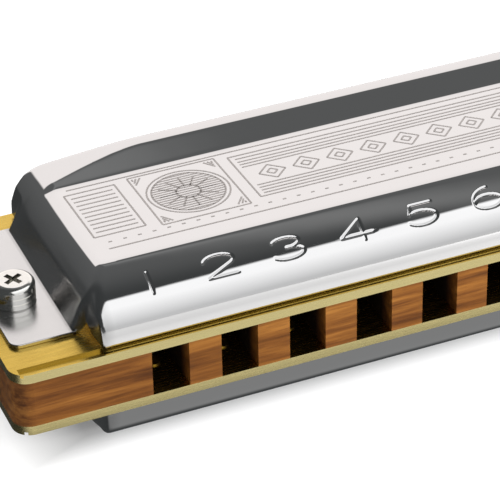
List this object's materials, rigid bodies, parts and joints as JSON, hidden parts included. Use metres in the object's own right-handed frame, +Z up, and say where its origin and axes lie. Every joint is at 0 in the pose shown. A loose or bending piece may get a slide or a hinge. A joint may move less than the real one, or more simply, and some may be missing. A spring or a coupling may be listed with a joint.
{
  "type": "harmonica",
  "caption": "Diatonic mouth harmonica: wooden comb between two brass reed plates with sprung reeds, under two chromed sheet covers that are open at the rear.",
  "frame": {"origin": "middle of the instrument in X and Y, at its lowest level in Z", "axes": "+X along the holes from hole 1 to hole 10, -Y out of the mouthpiece, +Z up through the upper cover"},
  "size_m": [0.1004, 0.0282, 0.02],
  "materials": {
    "comb_wood": "satin sealed reddish-brown hardwood, grain along the length",
    "plate_brass": "bright rolled brass",
    "reed_brass": "fine ground brass",
    "rivet_brass": "satin brass",
    "cover_chrome": "mirror-polished chrome, etched panel",
    "screw_steel": "nickel-plated, bright"
  },
  "bodies": {
    "body": {"comb": "comb_wood", "upper_reed_plate": "plate_brass", "lower_reed_plate": "plate_brass", "upper_cover": "cover_chrome", "lower_cover": "cover_chrome", "blow_reed_pads": "reed_brass", "draw_reed_pads": "reed_brass", "blow_reed_rivets": "rivet_brass", "draw_reed_rivets": "rivet_brass", "reed_plate_screws": "screw_steel", "cover_screws": "screw_steel", "cover_nuts": "screw_steel"},
    "blow_reed_01": {"blow_reed_01": "reed_brass"},
    "draw_reed_01": {"draw_reed_01": "reed_brass"},
    "blow_reed_02": {"blow_reed_02": "reed_brass"},
    "draw_reed_02": {"draw_reed_02": "reed_brass"},
    "blow_reed_03": {"blow_reed_03": "reed_brass"},
    "draw_reed_03": {"draw_reed_03": "reed_brass"},
    "blow_reed_04": {"blow_reed_04": "reed_brass"},
    "draw_reed_04": {"draw_reed_04": "reed_brass"},
    "blow_reed_05": {"blow_reed_05": "reed_brass"},
    "draw_reed_05": {"draw_reed_05": "reed_brass"},
    "blow_reed_06": {"blow_reed_06": "reed_brass"},
    "draw_reed_06": {"draw_reed_06": "reed_brass"},
    "blow_reed_07": {"blow_reed_07": "reed_brass"},
    "draw_reed_07": {"draw_reed_07": "reed_brass"},
    "blow_reed_08": {"blow_reed_08": "reed_brass"},
    "draw_reed_08": {"draw_reed_08": "reed_brass"},
    "blow_reed_09": {"blow_reed_09": "reed_brass"},
    "draw_reed_09": {"draw_reed_09": "reed_brass"},
    "blow_reed_10": {"blow_reed_10": "reed_brass"},
    "draw_reed_10": {"draw_reed_10": "reed_brass"}
  },
  "joints": [
    {"name": "blow_reed_01_swing", "type": "hinge", "parent": "body", "child": "blow_reed_01", "pos_m": [-0.03375, 0.0055, 0.01252], "axis": [-1, 0, 0], "range_deg": [-3.5, 3.5], "stiffness_Nm_per_rad": 0.001979},
    {"name": "draw_reed_01_swing", "type": "hinge", "parent": "body", "child": "draw_reed_01", "pos_m": [-0.03375, -0.00708, 0.00617], "axis": [1, 0, 0], "range_deg": [-3.5, 3.5], "stiffness_Nm_per_rad": 0.001979},
    {"name": "blow_reed_02_swing", "type": "hinge", "parent": "body", "child": "blow_reed_02", "pos_m": [-0.02625, 0.00481, 0.01252], "axis": [-1, 0, 0], "range_deg": [-3.5, 3.5], "stiffness_Nm_per_rad": 0.001686},
    {"name": "draw_reed_02_swing", "type": "hinge", "parent": "body", "child": "draw_reed_02", "pos_m": [-0.02625, -0.00708, 0.00617], "axis": [1, 0, 0], "range_deg": [-3.5, 3.5], "stiffness_Nm_per_rad": 0.001686},
    {"name": "blow_reed_03_swing", "type": "hinge", "parent": "body", "child": "blow_reed_03", "pos_m": [-0.01875, 0.00412, 0.01252], "axis": [-1, 0, 0], "range_deg": [-3.5, 3.5], "stiffness_Nm_per_rad": 0.001425},
    {"name": "draw_reed_03_swing", "type": "hinge", "parent": "body", "child": "draw_reed_03", "pos_m": [-0.01875, -0.00708, 0.00617], "axis": [1, 0, 0], "range_deg": [-3.5, 3.5], "stiffness_Nm_per_rad": 0.001425},
    {"name": "blow_reed_04_swing", "type": "hinge", "parent": "body", "child": "blow_reed_04", "pos_m": [-0.01125, 0.00343, 0.01252], "axis": [-1, 0, 0], "range_deg": [-3.5, 3.5], "stiffness_Nm_per_rad": 0.001195},
    {"name": "draw_reed_04_swing", "type": "hinge", "parent": "body", "child": "draw_reed_04", "pos_m": [-0.01125, -0.00708, 0.00617], "axis": [1, 0, 0], "range_deg": [-3.5, 3.5], "stiffness_Nm_per_rad": 0.001195},
    {"name": "blow_reed_05_swing", "type": "hinge", "parent": "body", "child": "blow_reed_05", "pos_m": [-0.00375, 0.00274, 0.01252], "axis": [-1, 0, 0], "range_deg": [-3.5, 3.5], "stiffness_Nm_per_rad": 0.000993},
    {"name": "draw_reed_05_swing", "type": "hinge", "parent": "body", "child": "draw_reed_05", "pos_m": [-0.00375, -0.00708, 0.00617], "axis": [1, 0, 0], "range_deg": [-3.5, 3.5], "stiffness_Nm_per_rad": 0.000993},
    {"name": "blow_reed_06_swing", "type": "hinge", "parent": "body", "child": "blow_reed_06", "pos_m": [0.00375, 0.00206, 0.01252], "axis": [-1, 0, 0], "range_deg": [-3.5, 3.5], "stiffness_Nm_per_rad": 0.000818},
    {"name": "draw_reed_06_swing", "type": "hinge", "parent": "body", "child": "draw_reed_06", "pos_m": [0.00375, -0.00708, 0.00617], "axis": [1, 0, 0], "range_deg": [-3.5, 3.5], "stiffness_Nm_per_rad": 0.000818},
    {"name": "blow_reed_07_swing", "type": "hinge", "parent": "body", "child": "blow_reed_07", "pos_m": [0.01125, 0.00137, 0.01252], "axis": [-1, 0, 0], "range_deg": [-3.5, 3.5], "stiffness_Nm_per_rad": 0.000665},
    {"name": "draw_reed_07_swing", "type": "hinge", "parent": "body", "child": "draw_reed_07", "pos_m": [0.01125, -0.00708, 0.00617], "axis": [1, 0, 0], "range_deg": [-3.5, 3.5], "stiffness_Nm_per_rad": 0.000665},
    {"name": "blow_reed_08_swing", "type": "hinge", "parent": "body", "child": "blow_reed_08", "pos_m": [0.01875, 0.00068, 0.01252], "axis": [-1, 0, 0], "range_deg": [-3.5, 3.5], "stiffness_Nm_per_rad": 0.000535},
    {"name": "draw_reed_08_swing", "type": "hinge", "parent": "body", "child": "draw_reed_08", "pos_m": [0.01875, -0.00708, 0.00617], "axis": [1, 0, 0], "range_deg": [-3.5, 3.5], "stiffness_Nm_per_rad": 0.000535},
    {"name": "blow_reed_09_swing", "type": "hinge", "parent": "body", "child": "blow_reed_09", "pos_m": [0.02625, -0.00001, 0.01252], "axis": [-1, 0, 0], "range_deg": [-3.5, 3.5], "stiffness_Nm_per_rad": 0.000424},
    {"name": "draw_reed_09_swing", "type": "hinge", "parent": "body", "child": "draw_reed_09", "pos_m": [0.02625, -0.00708, 0.00617], "axis": [1, 0, 0], "range_deg": [-3.5, 3.5], "stiffness_Nm_per_rad": 0.000424},
    {"name": "blow_reed_10_swing", "type": "hinge", "parent": "body", "child": "blow_reed_10", "pos_m": [0.03375, -0.0007, 0.01252], "axis": [-1, 0, 0], "range_deg": [-3.5, 3.5], "stiffness_Nm_per_rad": 0.00033},
    {"name": "draw_reed_10_swing", "type": "hinge", "parent": "body", "child": "draw_reed_10", "pos_m": [0.03375, -0.00708, 0.00617], "axis": [1, 0, 0], "range_deg": [-3.5, 3.5], "stiffness_Nm_per_rad": 0.00033}
  ]
}
